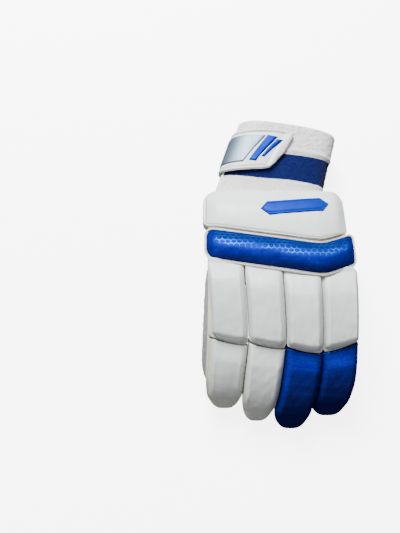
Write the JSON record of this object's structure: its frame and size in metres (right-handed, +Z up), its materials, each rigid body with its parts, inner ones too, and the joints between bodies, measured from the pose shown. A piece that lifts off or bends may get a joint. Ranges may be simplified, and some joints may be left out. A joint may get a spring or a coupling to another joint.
{
  "type": "cricket batting glove",
  "caption": "Padded right-hand cricket batting glove lying palm down: finger pads, knuckle band, back panel, towelling cuff and closing strap.",
  "frame": {"origin": "middle of the glove's bounding box in X and Y, on the surface that it lies on", "axes": "+Z up out of the back of the hand, -Y along the fingers, +X to the index finger side"},
  "size_m": [0.1442, 0.3068, 0.0779],
  "materials": {
    "white_pu": "smooth white PU leather over foam, fine grain",
    "blue_pu": "metallic blue PU leather with a hexagon emboss",
    "cream_piping": "cream PU edging",
    "palm_leather": "matt off-white glove leather",
    "grey_mesh": "light grey-lilac airmesh fabric",
    "towelling": "white terry towelling with a wide navy-blue stripe",
    "silver_pu": "silver metallic PU",
    "blue_print": "raised glossy blue moulded print"
  },
  "bodies": {
    "root": {"palm": "palm_leather", "thumb_stall": "palm_leather", "hand_back": "grey_mesh", "thumb_pad_base": "white_pu", "thumb_pad_tip": "white_pu", "knuckle_band": "blue_pu", "band_piping": "cream_piping", "back_panel": "white_pu", "badge": "blue_print", "little_pad_upper": "white_pu", "ring_pad_upper": "white_pu", "middle_pad_upper": "white_pu", "index_pad_upper": "white_pu", "little_pad_tip": "white_pu", "ring_pad_tip": "white_pu", "middle_pad_tip": "blue_pu", "index_pad_tip": "blue_pu", "cuff": "towelling", "cuff_binding_top": "white_pu", "cuff_binding_bottom": "white_pu", "strap": "white_pu", "strap_patch": "silver_pu", "strap_bar_1": "blue_print", "strap_bar_2": "blue_print"}
  },
  "joints": []
}
